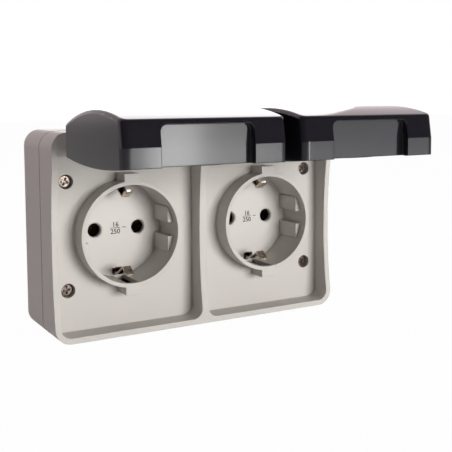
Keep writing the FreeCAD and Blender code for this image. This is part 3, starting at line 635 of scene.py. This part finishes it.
def make_floor():
    """A white table under the object, whose shader glows for the camera and a little for mirrors."""
    build = bmesh.new()
    bmesh.ops.create_grid(build, x_segments=1, y_segments=1, size=FLOOR_SIZE / 2)
    mesh = bpy.data.meshes.new("table_top")
    build.to_mesh(mesh)
    build.free()
    mesh.transform(Matrix.Translation((0, 0, cad_box[0].z)))
    material = bpy.data.materials.new("table_white")
    material.use_nodes = True
    tree = material.node_tree
    shader = tree.nodes["Principled BSDF"]
    shader.inputs["Roughness"].default_value = 0.9
    shader.inputs["Specular IOR Level"].default_value = 0.1
    speckle = add(tree, "ShaderNodeTexNoise", Scale=60.0)
    place = add(tree, "ShaderNodeTexCoord")
    join(tree, (place, "Object"), (speckle, "Vector"))
    tone = add(tree, "ShaderNodeMix", {"data_type": "RGBA"})
    tone.inputs[6].default_value = (0.86, 0.86, 0.86, 1)
    tone.inputs[7].default_value = (0.9, 0.9, 0.9, 1)
    join(tree, (speckle, "Fac"), (tone, "Factor"))
    join(tree, (tone, 2), (shader, "Base Color"))
    glow = add(tree, "ShaderNodeEmission", Strength=1.0)
    rays = add(tree, "ShaderNodeLightPath")
    mirrored = add(tree, "ShaderNodeMath", {"operation": "MULTIPLY"})
    mirrored.inputs[1].default_value = WHITE_TO_MIRRORS
    join(tree, (rays, "Is Glossy Ray"), (mirrored, 0))
    seen = add(tree, "ShaderNodeMath", {"operation": "MULTIPLY_ADD"})
    seen.inputs[1].default_value = WHITE_TO_CAMERA
    join(tree, (rays, "Is Camera Ray"), (seen, 0))
    join(tree, (mirrored, 0), (seen, 2))
    blend = add(tree, "ShaderNodeMixShader")
    join(tree, (seen, 0), (blend, 0))
    join(tree, (shader, 0), (blend, 1))
    join(tree, (glow, 0), (blend, 2))
    join(tree, (blend, 0), (tree.nodes["Material Output"], "Surface"))
    mesh.materials.append(material)
    show("table_top", mesh)


def make_surroundings(fill, front):
    """An even fill on the object. The camera sees white, and mirrors see white only behind it."""
    world = bpy.data.worlds.new("studio")
    world.use_nodes = True
    tree = world.node_tree
    even = tree.nodes["Background"]
    even.inputs["Color"].default_value = fill
    white = add(tree, "ShaderNodeBackground", Strength=1.0)
    white.inputs["Color"].default_value = (1, 1, 1, 1)
    mirrored = add(tree, "ShaderNodeBackground", Color=PALE_SKY)
    place = add(tree, "ShaderNodeTexCoord")
    split = add(tree, "ShaderNodeSeparateXYZ")
    join(tree, (place, "Generated"), (split, 0))
    behind = add(tree, "ShaderNodeMapRange", {"interpolation_type": "SMOOTHSTEP"})
    for label, value in (("From Min", SKY_FRONT_END), ("From Max", SKY_BACK_START),
                         ("To Min", front), ("To Max", 1.0)):
        behind.inputs[label].default_value = value
    join(tree, (split, "Y"), (behind, "Value"))
    join(tree, (behind, "Result"), (mirrored, "Strength"))
    rays = add(tree, "ShaderNodeLightPath")
    to_mirror, to_eye = add(tree, "ShaderNodeMixShader"), add(tree, "ShaderNodeMixShader")
    join(tree, (rays, "Is Glossy Ray"), (to_mirror, 0))
    join(tree, (even, 0), (to_mirror, 1))
    join(tree, (mirrored, 0), (to_mirror, 2))
    join(tree, (rays, "Is Camera Ray"), (to_eye, 0))
    join(tree, (to_mirror, 0), (to_eye, 1))
    join(tree, (white, 0), (to_eye, 2))
    join(tree, (to_eye, 0), (tree.nodes["World Output"], "Surface"))
    bpy.context.scene.world = world


make_floor()
make_surroundings(fill=(0.080, 0.062, 0.066, 1), front=0.05)
print("floor at z", round(cad_box[0].z / MM, 1), "mm")

# %% [markdown]
# ## The lamps
# Plain studio light: a large soft key lamp low in front on the right does most of the work, and a weak top
# lamp lifts the upper faces and the table. The left side gets an even fill and a weak lamp from behind, so
# it falls into a warm shade. These lamps light rough faces only, because the glossy lids are shaped by what
# they mirror: a pale card behind lights up their roofs, and three low cards in front draw the band across
# their fronts, bright by the left grip, greyer beside it and dim on the right lid.

# %% Hang the lamps
LAMP_TARGET = Vector((0, -0.05, 0.01))


def hang_lamp(name, azimuth, elevation, distance, size, watts, use, colour=(1, 1, 1)):
    """A rectangular lamp at an azimuth (0 is -Y, 90 is +X) and elevation seen from the object.

    use is light for one that only rough faces see, and mirror for one that only glossy faces see.
    """
    data = bpy.data.lights.new(name, "AREA")
    data.shape, data.size, data.size_y = "RECTANGLE", size[0], size[1]
    data.energy, data.color = watts, colour
    lamp = bpy.data.objects.new(name, data)
    lamp.visible_glossy, lamp.visible_diffuse = use != "light", use != "mirror"
    a, e = math.radians(azimuth), math.radians(elevation)
    away = Vector((math.sin(a) * math.cos(e), -math.cos(a) * math.cos(e), math.sin(e)))
    lamp.location = LAMP_TARGET + away * distance
    lamp.rotation_euler = (-away).to_track_quat("-Z", "Y").to_euler()
    bpy.context.scene.collection.objects.link(lamp)


hang_lamp("key_soft", 17, 6, 1.2, (0.66, 0.42), 18.3, use="light")
hang_lamp("top_soft", 0, 82, 1.2, (1.0, 0.8), 4.8, use="light")
hang_lamp("left_soft", -104, 8, 1.2, (0.6, 0.4), 1.6, use="light", colour=(1.0, 0.80, 0.84))
hang_lamp("back_card", 154, 20, 1.2, (0.63, 0.85), 3.5, use="mirror")
hang_lamp("bright_card", 20.3, -0.5, 0.69, (0.06, 0.10), 0.15, use="mirror")
hang_lamp("grey_card", 24.6, -0.5, 0.7, (0.155, 0.10), 0.16, use="mirror")
hang_lamp("dim_card", 38.5, -0.5, 0.7, (0.18, 0.10), 0.085, use="mirror")

# %% Picture settings
bpy.context.scene.view_settings.view_transform = "Standard"
